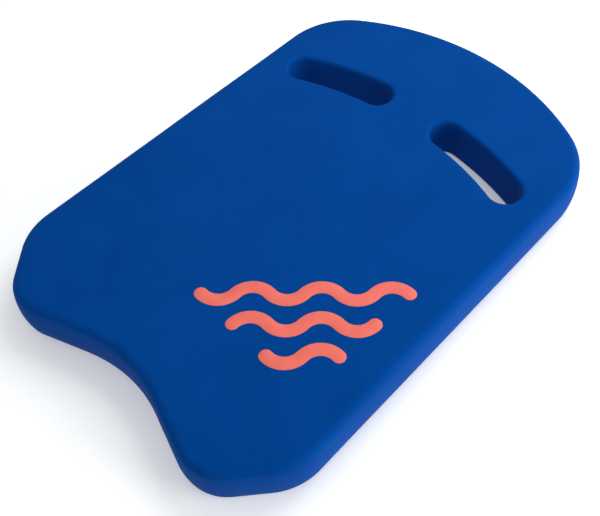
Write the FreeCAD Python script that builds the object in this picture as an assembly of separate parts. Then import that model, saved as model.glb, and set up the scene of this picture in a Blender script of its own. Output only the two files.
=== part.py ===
import FreeCAD, Part
import math
import os

from FreeCAD import Vector

# Kickboard float for swimming: one moulded slab of closed-cell foam with a rounded nose, two
# hand slots and a scoop in its tail, and a print of three rows of waves pressed into its deck.
# Sizes are in millimetres. X runs across the board, +Y points to the nose and +Z points up
# out of the deck. The origin lies on the underside, at the middle of the length and width.

# The slab
LENGTH = 430.0
WIDTH = 289.0
THICKNESS = 37.0
EDGE_RADIUS = 9.0  # rounding between the side wall and the deck or the underside

# Its outline, from the nose to the tail
NOSE_RADIUS = 216.5
SHOULDER_RADIUS = 67.0
TAIL_CORNER_RADIUS = 50.0
TAIL_CORNER_Y = -150.5  # where the straight side ends and the tail corner begins
LOBE_RADIUS = 36.0  # tip of each of the two lobes beside the scoop
LOBE_X = 88.0  # distance of a lobe's tip from the middle line
SCOOP_RADIUS = 122.5
SCOOP_DEPTH = 21.5

# The hand slots, which go right through
SLOT_LENGTH = 98.0
SLOT_WIDTH = 27.0
SLOT_X = 71.5
SLOT_Y = 110.0
SLOT_TILT = 14.2  # degrees, the outer end lies nearer the tail
SLOT_BEND_RADIUS = 250.0  # of the slot's curved middle line
SLOT_RIM_RADIUS = 3.5

# The print: rows of waves of one pitch, each row one wave shorter than the one before
WAVE_COUNTS = {"wave_print_long": 3, "wave_print_middle": 2, "wave_print_short": 1}
WAVE_PITCH = 49.0
WAVE_HEIGHT = 5.5  # from a row's middle line to a crest
STRIPE_WIDTH = 10.0
ROW_SPACING = 25.0
PRINT_X = 73.5
PRINT_Y = -91.0
PRINT_TILT = 41.5  # degrees from the board's width
FILM_THICKNESS = 0.3  # the film is pressed in flush with the deck


def polar(radius, degrees):
    """A point at a distance and an angle from the origin."""
    angle = math.radians(degrees)
    return Vector(radius * math.cos(angle), radius * math.sin(angle), 0)


def arc(start, middle, end):
    return Part.Arc(start, middle, end).toShape()


def mirrored(shape):
    """The same shape on the other side of the board's middle line."""
    return shape.mirror(Vector(0, 0, 0), Vector(1, 0, 0))


def tangent_ends(centre_1, radius_1, centre_2, radius_2):
    """Ends of the straight stretch that joins two rounds of the outline, followed clockwise.

    A round that bulges outwards has a positive radius, and a hollow one a negative radius.
    """
    span = centre_2 - centre_1
    turn = math.acos((radius_1 - radius_2) / span.Length)
    outwards = polar(1, math.degrees(math.atan2(span.y, span.x) + turn))
    return centre_1 + outwards * radius_1, centre_2 + outwards * radius_2


def round_between(centre, radius, start, end):
    """Arc about a centre, by the shorter way from start to end."""
    bulge = (start - centre) + (end - centre)
    return arc(start, centre + bulge * (radius / bulge.Length), end)


def outline():
    """Closed outline of the slab at its widest: rounds joined by tangent straight stretches."""
    nose = Vector(0, LENGTH / 2 - NOSE_RADIUS, 0)
    shoulder_x = WIDTH / 2 - SHOULDER_RADIUS
    shoulder_rise = math.sqrt((NOSE_RADIUS - SHOULDER_RADIUS) ** 2 - shoulder_x**2)
    shoulder = nose + Vector(shoulder_x, shoulder_rise, 0)
    corner = Vector(WIDTH / 2 - TAIL_CORNER_RADIUS, TAIL_CORNER_Y, 0)
    lobe = Vector(LOBE_X, LOBE_RADIUS - LENGTH / 2, 0)
    scoop_top = Vector(0, SCOOP_DEPTH - LENGTH / 2, 0)
    scoop = scoop_top - Vector(0, SCOOP_RADIUS, 0)

    nose_end = nose + (shoulder - nose).normalize() * NOSE_RADIUS
    side_start, side_end = tangent_ends(shoulder, SHOULDER_RADIUS, corner, TAIL_CORNER_RADIUS)
    tail_start, tail_end = tangent_ends(corner, TAIL_CORNER_RADIUS, lobe, LOBE_RADIUS)
    flank_start, flank_end = tangent_ends(lobe, LOBE_RADIUS, scoop, -SCOOP_RADIUS)
    right_edges = [
        round_between(shoulder, SHOULDER_RADIUS, nose_end, side_start),
        Part.makeLine(side_start, side_end),
        round_between(corner, TAIL_CORNER_RADIUS, side_end, tail_start),
        Part.makeLine(tail_start, tail_end),
        round_between(lobe, LOBE_RADIUS, tail_end, flank_start),
        Part.makeLine(flank_start, flank_end),
    ]
    middle_edges = [
        arc(Vector(-nose_end.x, nose_end.y, 0), Vector(0, LENGTH / 2, 0), nose_end),
        arc(flank_end, scoop_top, Vector(-flank_end.x, flank_end.y, 0)),
    ]
    edges = middle_edges + right_edges + [mirrored(edge) for edge in right_edges]
    return Part.Wire(Part.sortEdges(edges)[0])


def plate_along(middle_line, width, height):
    """Level plate of one width along a middle line, with round ends."""
    rim = Part.Wire(middle_line).makeOffset2D(width / 2)
    return Part.Face(rim).extrude(Vector(0, 0, height))


def right_slot():
    """The space of the right hand slot, through the whole thickness."""
    facing = 90 - SLOT_TILT
    half_sweep = math.degrees((SLOT_LENGTH - SLOT_WIDTH) / 2 / SLOT_BEND_RADIUS)
    bend_centre = Vector(SLOT_X, SLOT_Y, 0) - polar(SLOT_BEND_RADIUS, facing)
    turns = (half_sweep, 0, -half_sweep)
    points = [bend_centre + polar(SLOT_BEND_RADIUS, facing + turn) for turn in turns]
    return plate_along([arc(*points)], SLOT_WIDTH, THICKNESS)


def wave_film(wave_count, row):
    """One row of the print, whose crests stand in line with those of the other rows."""
    half_pitch = WAVE_PITCH / 2
    swings = []
    for n in range(-wave_count, wave_count):
        left = n * half_pitch
        height = WAVE_HEIGHT if n % 2 == 0 else -WAVE_HEIGHT
        turning_point = Vector(left + half_pitch / 2, height, 0)
        swings.append(arc(Vector(left, 0, 0), turning_point, Vector(left + half_pitch, 0, 0)))
    film = plate_along(swings, STRIPE_WIDTH, FILM_THICKNESS)
    film.translate(Vector(0, -row * ROW_SPACING, 0))
    film.rotate(Vector(0, 0, 0), Vector(0, 0, 1), PRINT_TILT)
    film.translate(Vector(PRINT_X, PRINT_Y, THICKNESS - FILM_THICKNESS))
    return film


def wave_films():
    """The rows of the print by name, spread evenly about its middle."""
    first_row = (1 - len(WAVE_COUNTS)) / 2
    films = {}
    for n, (name, wave_count) in enumerate(WAVE_COUNTS.items()):
        films[name] = wave_film(wave_count, first_row + n)
    return films


def level_wires(solid, outer):
    """The closed edge loops of the underside and the deck: the outer ones, or those of holes."""
    level_faces = [face for face in solid.Faces if abs(face.normalAt(0, 0).z) > 0.999]
    return [wire for face in level_faces for wire in face.Wires if wire.isSame(face.OuterWire) == outer]


def foam_board(films):
    """The slab with its edges rounded, its slots open, and shallow seats for the films."""
    slab = Part.Face(outline()).extrude(Vector(0, 0, THICKNESS))
    slab = slab.makeFillet(EDGE_RADIUS, [edge for wire in level_wires(slab, True) for edge in wire.Edges])
    slot = right_slot()
    slab = slab.cut([slot, mirrored(slot)])
    slab = slab.makeFillet(SLOT_RIM_RADIUS, [edge for wire in level_wires(slab, False) for edge in wire.Edges])
    return slab.cut(films).Solids[0]


os.makedirs("parts", exist_ok=True)
parts = wave_films()
parts["foam_board"] = foam_board(list(parts.values()))
for name, shape in parts.items():
    shape.exportStep(f"parts/{name}.step")
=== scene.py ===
import math

import bmesh
import bpy
from mathutils import Matrix, Quaternion, Vector, noise


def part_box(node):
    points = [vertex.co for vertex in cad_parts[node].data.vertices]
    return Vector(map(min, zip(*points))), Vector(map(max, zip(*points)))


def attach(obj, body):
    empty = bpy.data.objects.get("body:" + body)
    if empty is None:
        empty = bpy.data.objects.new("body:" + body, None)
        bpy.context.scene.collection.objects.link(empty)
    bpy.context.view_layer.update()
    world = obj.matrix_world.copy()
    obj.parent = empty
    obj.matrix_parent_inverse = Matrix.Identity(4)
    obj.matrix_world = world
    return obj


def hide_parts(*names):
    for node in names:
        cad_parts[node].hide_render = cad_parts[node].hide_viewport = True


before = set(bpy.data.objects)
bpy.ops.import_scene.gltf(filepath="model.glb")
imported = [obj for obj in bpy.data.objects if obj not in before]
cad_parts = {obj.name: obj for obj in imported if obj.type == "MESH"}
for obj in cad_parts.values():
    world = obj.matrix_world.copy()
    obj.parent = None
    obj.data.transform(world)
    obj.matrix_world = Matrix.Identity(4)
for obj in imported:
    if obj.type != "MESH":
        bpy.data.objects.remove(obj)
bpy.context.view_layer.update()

# ---- Foam board ---------------------------------------------------------------------------
# One slab of closed-cell EVA foam, moulded in a heated press that leaves a fine matt skin on
# every face. The press rounds the slab's edges and the rims of its two hand slots, and the
# cooling foam bulges a little at its outer wall and swells by a hair all over.

foam_low, foam_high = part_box("foam_board")
HALF_WIDTH = foam_high.x
NOSE_TIP_Y = foam_high.y
TAIL_TIP_Y = foam_low.y
THICKNESS = foam_high.z
EDGE_RADIUS = 0.005
WALL_BULGE = 0.0025
NOSE_RADIUS = 0.2165
SHOULDER_RADIUS = 0.067
TAIL_CORNER_RADIUS = 0.050
TAIL_CORNER_Y = -0.1505
LOBE_RADIUS = 0.036
LOBE_X = 0.088
SCOOP_RADIUS = 0.1225
SCOOP_DEPTH = 0.0215
SLOT_LENGTH = 0.098
SLOT_WIDTH = 0.027
SLOT_CENTRE = Vector((0.0715, 0.110, 0))
SLOT_FACING = math.radians(90 - 14.2)
SLOT_BEND_RADIUS = 0.250
SLOT_RIM_RADIUS = 0.0035
OUTLINE_STEP = 0.0025
DECK_STEP = 0.006
WALL_CUTS = 7
EDGE_SEGMENTS = 10
SWELL_HEIGHT = 0.00012
SWELL_LENGTH = 0.070
LEVEL_NORMAL = 0.999
SLIVER_SIZE = 6e-5
SAME_PLACE = 1e-6
QUARTER_TURN = math.pi / 2


def polar(radius, angle):
    return Vector((radius * math.cos(angle), radius * math.sin(angle), 0))


def place_vert(bm, place):
    return bmesh.ops.create_vert(bm, co=place)["vert"][0]


def line_to(bm, vert, place):
    """Carries an outline on from a vertex by one straight edge, and returns its new end."""
    grown = bmesh.ops.extrude_vert_indiv(bm, verts=[vert])["verts"]
    bmesh.ops.translate(bm, vec=place - vert.co, verts=grown)
    return grown[0]


def run_to(bm, vert, place):
    """Carries an outline straight on in short steps, and returns its new end."""
    steps = max(1, round((place - vert.co).length / DECK_STEP))
    for n in range(steps):
        vert = line_to(bm, vert, vert.co + (place - vert.co) / (steps - n))
    return vert


def turn_round(bm, vert, centre, turn):
    """Carries an outline on round a centre, clockwise if turn is positive, and returns its new end."""
    steps = max(2, round(abs(turn) * (vert.co - centre).length / OUTLINE_STEP))
    grown = bmesh.ops.spin(bm, geom=[vert], cent=centre, axis=(0, 0, -1), angle=turn, steps=steps)
    return next(item for item in grown["geom_last"] if isinstance(item, bmesh.types.BMVert))


def close_face(bm):
    """Fills the outline that stands open. The ones before it are already faces."""
    bmesh.ops.remove_doubles(bm, verts=[vert for vert in bm.verts if not vert.link_faces], dist=1e-7)
    bmesh.ops.contextual_create(bm, geom=[edge for edge in bm.edges if edge.is_wire])


def way_out(centre_1, radius_1, centre_2, radius_2):
    """Direction out of the board along the straight stretch between two rounds of its outline.

    The outline is followed clockwise, and a hollow round has a negative radius.
    """
    span = centre_2 - centre_1
    return math.atan2(span.y, span.x) + math.acos(min(1, (radius_1 - radius_2) / span.length))


def swell(place):
    """How far the cooled skin stands proud of its true face, or below it, at a place."""
    return SWELL_HEIGHT * noise.fractal(place / SWELL_LENGTH, 1.0, 2.0, 2)


nose = Vector((0, NOSE_TIP_Y - NOSE_RADIUS, 0))
shoulder_x = HALF_WIDTH - SHOULDER_RADIUS
shoulder_rise = math.sqrt((NOSE_RADIUS - SHOULDER_RADIUS) ** 2 - shoulder_x**2)
shoulder = nose + Vector((shoulder_x, shoulder_rise, 0))
corner = Vector((HALF_WIDTH - TAIL_CORNER_RADIUS, TAIL_CORNER_Y, 0))
lobe = Vector((LOBE_X, TAIL_TIP_Y + LOBE_RADIUS, 0))
scoop = Vector((0, TAIL_TIP_Y + SCOOP_DEPTH - SCOOP_RADIUS, 0))
out_of_shoulder = way_out(nose, NOSE_RADIUS, shoulder, SHOULDER_RADIUS)
out_of_tail = way_out(corner, TAIL_CORNER_RADIUS, lobe, LOBE_RADIUS)
out_of_flank = way_out(lobe, LOBE_RADIUS, scoop, -SCOOP_RADIUS)

slot_sweep = (SLOT_LENGTH - SLOT_WIDTH) / SLOT_BEND_RADIUS
bend = SLOT_CENTRE - polar(SLOT_BEND_RADIUS, SLOT_FACING)
inner_end = bend + polar(SLOT_BEND_RADIUS, SLOT_FACING + slot_sweep / 2)
outer_end = bend + polar(SLOT_BEND_RADIUS, SLOT_FACING - slot_sweep / 2)
inner_tip = inner_end + polar(SLOT_WIDTH / 2, SLOT_FACING + slot_sweep / 2 + QUARTER_TURN)
outer_tip = outer_end + polar(SLOT_WIDTH / 2, SLOT_FACING - slot_sweep / 2 - QUARTER_TURN)
middle_place = Vector((0, inner_tip.y, 0))
side_place = Vector((HALF_WIDTH, outer_tip.y, 0))

# The right half's underside, in two faces that meet beside the hand slot: one goes from the
# nose's tip round the shoulder and back past the slot's far rim, and one round the tail and
# back past its near rim.
board = bmesh.new()

end = place_vert(board, (0, NOSE_TIP_Y, 0))
end = turn_round(board, end, nose, QUARTER_TURN - out_of_shoulder)
end = turn_round(board, end, shoulder, out_of_shoulder)
end = run_to(board, end, side_place)
end = line_to(board, end, outer_tip)
end = turn_round(board, end, outer_end, -QUARTER_TURN)
end = turn_round(board, end, bend, -slot_sweep)
end = turn_round(board, end, inner_end, -QUARTER_TURN)
end = line_to(board, end, middle_place)
end = line_to(board, end, Vector((0, NOSE_TIP_Y, 0)))
close_face(board)

end = place_vert(board, side_place)
end = run_to(board, end, corner + polar(TAIL_CORNER_RADIUS, 0))
end = turn_round(board, end, corner, -out_of_tail)
end = run_to(board, end, lobe + polar(LOBE_RADIUS, out_of_tail))
end = turn_round(board, end, lobe, out_of_tail - out_of_flank)
end = run_to(board, end, scoop - polar(SCOOP_RADIUS, out_of_flank))
end = turn_round(board, end, scoop, out_of_flank + QUARTER_TURN)
end = line_to(board, end, middle_place)
end = line_to(board, end, inner_tip)
end = turn_round(board, end, inner_end, -QUARTER_TURN)
end = turn_round(board, end, bend, slot_sweep)
end = turn_round(board, end, outer_end, -QUARTER_TURN)
end = line_to(board, end, side_place)
close_face(board)

# Mirrored into the whole underside, drawn up to the deck, and rounded along every rim
bmesh.ops.remove_doubles(board, verts=board.verts[:], dist=SAME_PLACE)
half_board = board.verts[:] + board.edges[:] + board.faces[:]
bmesh.ops.mirror(board, geom=half_board, axis="X", merge_dist=SAME_PLACE)
lifted = bmesh.ops.extrude_face_region(board, geom=board.faces[:], use_keep_orig=True)
lifted_verts = [item for item in lifted["geom"] if isinstance(item, bmesh.types.BMVert)]
bmesh.ops.translate(board, vec=(0, 0, THICKNESS), verts=lifted_verts)
bmesh.ops.recalc_face_normals(board, faces=board.faces[:])


def is_level(face):
    return abs(face.normal.z) > LEVEL_NORMAL


def in_slot(edge):
    """Whether an edge belongs to a hand slot, with its rounded rims, and not to the outline."""
    middle = (edge.verts[0].co + edge.verts[1].co) / 2
    reach = Vector((abs(middle.x), middle.y, 0)) - SLOT_CENTRE
    return reach.length < SLOT_LENGTH / 2 + 2 * SLOT_RIM_RADIUS


rims = [edge for edge in board.edges if is_level(edge.link_faces[0]) != is_level(edge.link_faces[1])]
slot_rims = [edge for edge in rims if in_slot(edge)]
outer_rims = [edge for edge in rims if not in_slot(edge)]
for edges, radius in ((outer_rims, EDGE_RADIUS), (slot_rims, SLOT_RIM_RADIUS)):
    bmesh.ops.bevel(
        board, geom=edges, offset=radius, offset_type="OFFSET", segments=EDGE_SEGMENTS, profile=0.5,
        affect="EDGES", material=-1, clamp_overlap=False, loop_slide=True,
    )
bmesh.ops.recalc_face_normals(board, faces=board.faces[:])

# The outer wall bulges: it stands furthest out at half its height, where it meets the outline
wall_edges = [edge for edge in board.edges if abs(edge.verts[0].co.z - edge.verts[1].co.z) > THICKNESS / 2]
bmesh.ops.subdivide_edges(board, edges=wall_edges, cuts=WALL_CUTS, use_grid_fill=True)
outer_faces = {face for face in board.faces if not is_level(face) and not in_slot(face.edges[0])}
facings = {}
for vert in {vert for face in outer_faces for vert in face.verts}:
    facing = sum((face.normal for face in vert.link_faces if face in outer_faces), Vector())
    facing.z = 0
    facings[vert] = facing.normalized()
for vert, facing in facings.items():
    vert.co -= facing * WALL_BULGE * (2 * vert.co.z / THICKNESS - 1) ** 2


def cut_level_faces(direction, start, end):
    """Cuts the deck and the underside across, in strips about as wide as the deck step."""
    count = math.ceil((end - start) / DECK_STEP)
    for n in range(1, count):
        level = [face for face in board.faces if is_level(face)]
        geom = level + list({edge for face in level for edge in face.edges})
        geom += list({vert for face in level for vert in face.verts})
        spot = direction * (start + n * (end - start) / count)
        bmesh.ops.bisect_plane(board, geom=geom, plane_co=spot, plane_no=direction, dist=1e-5)


cut_level_faces(Vector((1, 0, 0)), foam_low.x, foam_high.x)
cut_level_faces(Vector((0, 1, 0)), foam_low.y, foam_high.y)

# The cuts leave slivers where they pass close to a corner, and these are merged away
bmesh.ops.remove_doubles(board, verts=board.verts[:], dist=SLIVER_SIZE)
many_sided = [face for face in board.faces if len(face.verts) > 4]
bmesh.ops.triangulate(board, faces=many_sided, quad_method="BEAUTY", ngon_method="BEAUTY")

# The skin swells everywhere but on the underside, which stays flat where it rests
board.normal_update()
for vert in board.verts:
    height = min(1, max(0, vert.co.z) / EDGE_RADIUS)
    vert.co += vert.normal * swell(vert.co) * height


def finish_piece(name, bm):
    """Makes a bmesh into a smooth object of that name, in place."""
    for face in bm.faces:
        face.smooth = True
    mesh = bpy.data.meshes.new(name)
    bm.to_mesh(mesh)
    bm.free()
    piece = bpy.data.objects.new(name, mesh)
    bpy.context.scene.collection.objects.link(piece)
    return piece


def add_node(material, kind, **inputs):
    """Adds a node, with each named socket set to a value or linked to another node's output."""
    node = material.node_tree.nodes.new(kind)
    for name, value in inputs.items():
        socket = node.inputs[name]
        if isinstance(value, bpy.types.NodeSocket):
            material.node_tree.links.new(value, socket)
        else:
            socket.default_value = value
    return node


def spread(material, pattern, low, high, low_result, high_result):
    """Turns the stretch of a pattern from low to high into values between two results."""
    sockets = {"Value": pattern, "From Min": low, "From Max": high}
    sockets.update({"To Min": low_result, "To Max": high_result})
    return add_node(material, "ShaderNodeMapRange", **sockets).outputs["Result"]


def blend_colours(material, pattern, colour_1, colour_2):
    """Colour that goes from the first to the second as the pattern goes from 0 to 1."""
    ramp = add_node(material, "ShaderNodeValToRGB", Fac=pattern)
    ramp.color_ramp.elements[0].color = (*colour_1, 1)
    ramp.color_ramp.elements[1].color = (*colour_2, 1)
    return ramp.outputs["Color"]


def noise_pattern(material, place, grain, detail):
    """Cloudy pattern about 0.5, with clouds about as long as the grain."""
    sockets = {"Vector": place, "Scale": 1 / grain, "Detail": detail, "Roughness": 0.55}
    return add_node(material, "ShaderNodeTexNoise", **sockets).outputs["Fac"]


def dot_pattern(material, place, spacing, reach):
    """Small round dots: 1 in the middle of each, and 0 beyond its reach from there."""
    cells = add_node(material, "ShaderNodeTexVoronoi", Vector=place, Scale=1 / spacing)
    return spread(material, cells.outputs["Distance"], 0.0, reach, 1.0, 0.0)


def add_bump(material, shader, height, depth, under=None):
    """Raises the surface by a pattern, over another bump if there is one."""
    bump = add_node(material, "ShaderNodeBump", Height=height, Strength=1.0, Distance=depth)
    if under:
        material.node_tree.links.new(under, bump.inputs["Normal"])
    material.node_tree.links.new(bump.outputs["Normal"], shader.inputs["Normal"])
    return bump.outputs["Normal"]


moulded_foam = finish_piece("moulded_foam", board)

foam_skin = bpy.data.materials.new("foam_skin")
foam_skin.use_nodes = True
shader = foam_skin.node_tree.nodes["Principled BSDF"]
place = add_node(foam_skin, "ShaderNodeTexCoord").outputs["Object"]

# The pigment lies in faint clouds, the cells show through as a fine speckle and grain, and here
# and there a cell has burst open into a pore, whose colour is darkened by painted shade
DEEP_BLUE = (0.0004, 0.0490, 0.253)
PALE_BLUE = (0.0006, 0.0540, 0.274)
CLOUD_LENGTH = 0.045
SPECKLE_LENGTH = 0.0016
SPECKLE_CONTRAST = 0.07
GRAIN_LENGTH = 0.0007
GRAIN_DEPTH = 0.0001
PORE_SPACING = 0.0032
PORE_REACH = 0.16
PORE_DEPTH = 0.00012
PORE_PAINTED_SHADE = 0.75
clouds = noise_pattern(foam_skin, place, CLOUD_LENGTH, detail=3.0)
speckle = noise_pattern(foam_skin, place, SPECKLE_LENGTH, detail=3.0)
grain = noise_pattern(foam_skin, place, GRAIN_LENGTH, detail=2.0)
pores = dot_pattern(foam_skin, place, PORE_SPACING, PORE_REACH)
clouded = blend_colours(foam_skin, spread(foam_skin, clouds, 0.35, 0.65, 0.0, 1.0), DEEP_BLUE, PALE_BLUE)
speckled = add_node(
    foam_skin, "ShaderNodeHueSaturation", Color=clouded,
    Value=spread(foam_skin, speckle, 0.25, 0.75, 1 - SPECKLE_CONTRAST, 1 + SPECKLE_CONTRAST),
)
# Painted shade: the colour is darkened in each pore, where shade falls in the pit
pore_shade_painted = add_node(
    foam_skin, "ShaderNodeHueSaturation", Color=speckled.outputs["Color"],
    Value=spread(foam_skin, pores, 0.0, 1.0, 1.0, PORE_PAINTED_SHADE),
)
foam_skin.node_tree.links.new(pore_shade_painted.outputs["Color"], shader.inputs["Base Color"])
foam_roughness = spread(foam_skin, speckle, 0.3, 0.7, 0.66, 0.78)
foam_skin.node_tree.links.new(foam_roughness, shader.inputs["Roughness"])
shader.inputs["Specular IOR Level"].default_value = 0.06
shader.inputs["Specular Tint"].default_value = (0.02, 0.30, 1.0, 1)
grained = add_bump(foam_skin, shader, grain, GRAIN_DEPTH)
pits = spread(foam_skin, pores, 0.0, 1.0, 1.0, 0.0)
add_bump(foam_skin, shader, pits, PORE_DEPTH, under=grained)

moulded_foam.data.materials.append(foam_skin)
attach(moulded_foam, "root")
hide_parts("foam_board")


# ---- Wave prints ---------------------------------------------------------------------------
# Three rows of waves in soft coral film, heat-pressed into the deck. Each stripe is cut to an
# even width with round ends, and its top stands a hair proud of the foam round it.

WAVE_COUNTS = {"wave_print_long": 3, "wave_print_middle": 2, "wave_print_short": 1}
WAVE_PITCH = 0.049
WAVE_HEIGHT = 0.0055
STRIPE_WIDTH = 0.010
FILM_DEPTH = 0.0003
FILM_RISE = 0.00012
FILM_RIM_RADIUS = 0.00008
FILM_STEP = 0.0012

row_places = [sum(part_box(name), Vector()) / 2 for name in WAVE_COUNTS]
down_rows = row_places[-1] - row_places[0]
PRINT_TILT = math.atan2(down_rows.y, down_rows.x) + QUARTER_TURN


def round_end(bm, place, side, turn):
    """Half-round end of a stripe, turned about a place from its left side to its right."""
    place_of_side = place + side * (STRIPE_WIDTH / 2)
    tip = place_vert(bm, place_of_side)
    run_to(bm, tip, place)
    steps = math.ceil(math.pi * STRIPE_WIDTH / 2 / FILM_STEP)
    bmesh.ops.spin(bm, geom=list(tip.link_edges), cent=place, axis=(0, 0, -1), angle=turn, steps=steps)


def wave_stripe(wave_count):
    """Flat stripe along a row of waves, about the row's middle."""
    half_pitch = WAVE_PITCH / 2
    bend_radius = (half_pitch**2 / 4 + WAVE_HEIGHT**2) / (2 * WAVE_HEIGHT)
    half_turn = math.asin(half_pitch / 2 / bend_radius)
    stripe = bmesh.new()
    for n in range(-wave_count, wave_count):
        crest = 1 if n % 2 == 0 else -1
        start = Vector((n * half_pitch, 0, 0))
        finish = Vector(((n + 1) * half_pitch, 0, 0))
        bend_centre = (start + finish) / 2 - Vector((0, crest * (bend_radius - WAVE_HEIGHT), 0))
        start_side = polar(1, QUARTER_TURN + crest * half_turn)
        finish_side = polar(1, QUARTER_TURN - crest * half_turn)
        left = place_vert(stripe, start + start_side * (STRIPE_WIDTH / 2))
        middle = run_to(stripe, left, start)
        run_to(stripe, middle, start - start_side * (STRIPE_WIDTH / 2))
        steps = math.ceil(2 * half_turn * bend_radius / FILM_STEP)
        bmesh.ops.spin(
            stripe, geom=list(middle.link_edges), cent=bend_centre, axis=(0, 0, -1),
            angle=crest * 2 * half_turn, steps=steps,
        )
        if n == -wave_count:
            round_end(stripe, start, start_side, -math.pi)
        if n == wave_count - 1:
            round_end(stripe, finish, finish_side, math.pi)
    bmesh.ops.remove_doubles(stripe, verts=stripe.verts[:], dist=SAME_PLACE)
    return stripe


def thicken_film(stripe):
    """Raises a flat stripe to the film's full depth, with a soft rim round its top."""
    lifted = bmesh.ops.extrude_face_region(stripe, geom=stripe.faces[:], use_keep_orig=True)
    lifted_verts = [item for item in lifted["geom"] if isinstance(item, bmesh.types.BMVert)]
    bmesh.ops.translate(stripe, vec=(0, 0, FILM_DEPTH + FILM_RISE), verts=lifted_verts)
    bmesh.ops.recalc_face_normals(stripe, faces=stripe.faces[:])
    top_rims = [
        edge for edge in stripe.edges
        if edge.verts[0].co.z > 0 and edge.verts[1].co.z > 0
        and is_level(edge.link_faces[0]) != is_level(edge.link_faces[1])
    ]
    bmesh.ops.bevel(
        stripe, geom=top_rims, offset=FILM_RIM_RADIUS, offset_type="OFFSET", segments=2, profile=0.5,
        affect="EDGES", material=-1, clamp_overlap=True, loop_slide=True,
    )


coral_film = bpy.data.materials.new("coral_film")
coral_film.use_nodes = True
shader = coral_film.node_tree.nodes["Principled BSDF"]
place = add_node(coral_film, "ShaderNodeTexCoord").outputs["Object"]

# The ink lies a little thicker in some places than others, and the foam's grain shows through
DEEP_CORAL = (0.80, 0.156, 0.119)
PALE_CORAL = (0.86, 0.174, 0.135)
INK_LENGTH = 0.012
PINHOLE_REACH = 0.08
PINHOLE_PAINTED_SHADE = 0.85
FILM_GRAIN_DEPTH = 0.00005
clouds = noise_pattern(coral_film, place, INK_LENGTH, detail=4.0)
grain = noise_pattern(coral_film, place, GRAIN_LENGTH, detail=2.0)
pinholes = dot_pattern(coral_film, place, PORE_SPACING, PINHOLE_REACH)
inked = spread(coral_film, clouds, 0.35, 0.65, 0.0, 1.0)
clouded = blend_colours(coral_film, inked, DEEP_CORAL, PALE_CORAL)
# Painted shade: the colour is darkened in each pinhole, where shade falls in it
pore_shade_painted = add_node(
    coral_film, "ShaderNodeHueSaturation", Color=clouded,
    Value=spread(coral_film, pinholes, 0.0, 1.0, 1.0, PINHOLE_PAINTED_SHADE),
)
coral_film.node_tree.links.new(pore_shade_painted.outputs["Color"], shader.inputs["Base Color"])
film_roughness = spread(coral_film, grain, 0.3, 0.7, 0.50, 0.62)
coral_film.node_tree.links.new(film_roughness, shader.inputs["Roughness"])
shader.inputs["Specular IOR Level"].default_value = 0.15
add_bump(coral_film, shader, grain, FILM_GRAIN_DEPTH)

for (node_name, wave_count), row_place in zip(WAVE_COUNTS.items(), row_places):
    stripe = wave_stripe(wave_count)
    thicken_film(stripe)
    slant = Matrix.Rotation(PRINT_TILT, 3, "Z")
    bmesh.ops.rotate(stripe, cent=(0, 0, 0), matrix=slant, verts=stripe.verts[:])
    film_bottom = Vector((row_place.x, row_place.y, THICKNESS - FILM_DEPTH))
    bmesh.ops.translate(stripe, vec=film_bottom, verts=stripe.verts[:])
    for vert in stripe.verts:
        vert.co.z += swell(Vector((vert.co.x, vert.co.y, THICKNESS)))
    coral_wave = finish_piece(node_name.replace("wave_print", "coral_wave"), stripe)
    coral_wave.data.materials.append(coral_film)
    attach(coral_wave, "root")
    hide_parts(node_name)


# ---- Table, light and camera ---------------------------------------------------------------
# The board lies on a plain white table. One large soft lamp stands low beyond its right side,
# another hangs high beyond its nose, and pale walls all round give the rest of the light.

TABLE_REACH = 3.0
TABLE_GAP = 0.0003
TABLE_WHITE = (0.92, 0.94, 0.95)
TABLE_GLOW = 0.26
WALL_LIGHT = 0.54

table = bmesh.new()
bmesh.ops.create_grid(table, x_segments=1, y_segments=1, size=TABLE_REACH)
bmesh.ops.translate(table, vec=(0, 0, -TABLE_GAP), verts=table.verts[:])
white_table = finish_piece("white_table", table)
table_white = bpy.data.materials.new("table_white")
table_white.use_nodes = True
shader = table_white.node_tree.nodes["Principled BSDF"]
shader.inputs["Base Color"].default_value = (*TABLE_WHITE, 1)
shader.inputs["Roughness"].default_value = 0.9
shader.inputs["Specular IOR Level"].default_value = 0.0
shader.inputs["Emission Color"].default_value = (1, 1, 1, 1)
shader.inputs["Emission Strength"].default_value = TABLE_GLOW
white_table.data.materials.append(table_white)

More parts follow.
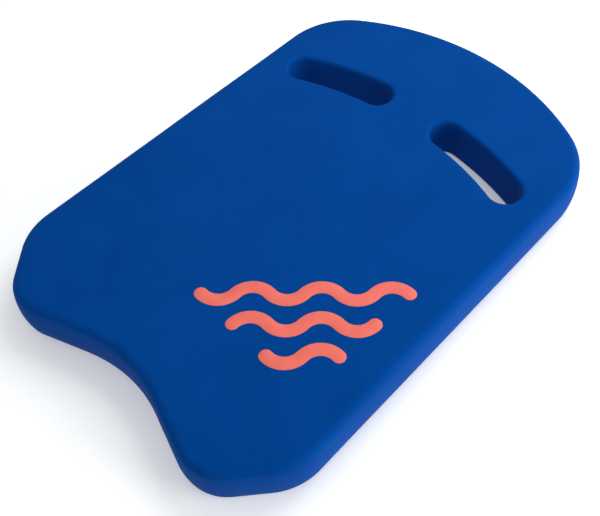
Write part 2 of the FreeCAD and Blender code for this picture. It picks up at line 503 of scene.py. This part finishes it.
world = bpy.data.worlds.new("pale_walls")
world.use_nodes = True
world.node_tree.nodes["Background"].inputs["Color"].default_value = (1, 1, 1, 1)
world.node_tree.nodes["Background"].inputs["Strength"].default_value = WALL_LIGHT
bpy.context.scene.world = world
bpy.context.scene.view_settings.view_transform = "Standard"


def towards(azimuth, elevation):
    """Direction of a place seen from the board, with azimuth turned from its tail to its right."""
    return Vector((
        math.sin(azimuth) * math.cos(elevation),
        -math.cos(azimuth) * math.cos(elevation),
        math.sin(elevation),
    ))


def hang_lamp(name, direction, distance, size, power):
    """Square soft lamp that faces the board."""
    lamp_data = bpy.data.lights.new(name, "AREA")
    lamp_data.shape = "SQUARE"
    lamp_data.size = size
    lamp_data.energy = power
    lamp = bpy.data.objects.new(name, lamp_data)
    lamp.location = direction * distance
    lamp.rotation_mode = "QUATERNION"
    lamp.rotation_quaternion = direction.to_track_quat("Z", "Y")
    bpy.context.scene.collection.objects.link(lamp)


SIDE_LAMP_DIRECTION = towards(math.radians(110), math.radians(11))
hang_lamp("side_lamp", SIDE_LAMP_DIRECTION, distance=1.3, size=0.7, power=14.3)
NOSE_LAMP_DIRECTION = towards(math.radians(180), math.radians(56))
hang_lamp("nose_lamp", NOSE_LAMP_DIRECTION, distance=0.9, size=0.6, power=4.3)

CAMERA_DIRECTION = towards(math.radians(46.7501), math.radians(54.1005))
CAMERA_DISTANCE = 0.6370634
CAMERA_AIM = Vector((0.01387, -0.03371, 0.00014))
CAMERA_ROLL = math.radians(-4.1091)
CAMERA_LENS = 48.97
CAMERA_SENSOR = 36.0
camera_data = bpy.data.cameras.new("camera")
camera_data.lens = CAMERA_LENS
camera_data.sensor_width = CAMERA_SENSOR
camera = bpy.data.objects.new("camera", camera_data)
camera.location = CAMERA_AIM + CAMERA_DIRECTION * CAMERA_DISTANCE
camera.rotation_mode = "QUATERNION"
camera.rotation_quaternion = CAMERA_DIRECTION.to_track_quat("Z", "Y") @ Quaternion((0, 0, 1), CAMERA_ROLL)
bpy.context.scene.collection.objects.link(camera)
bpy.context.scene.camera = camera
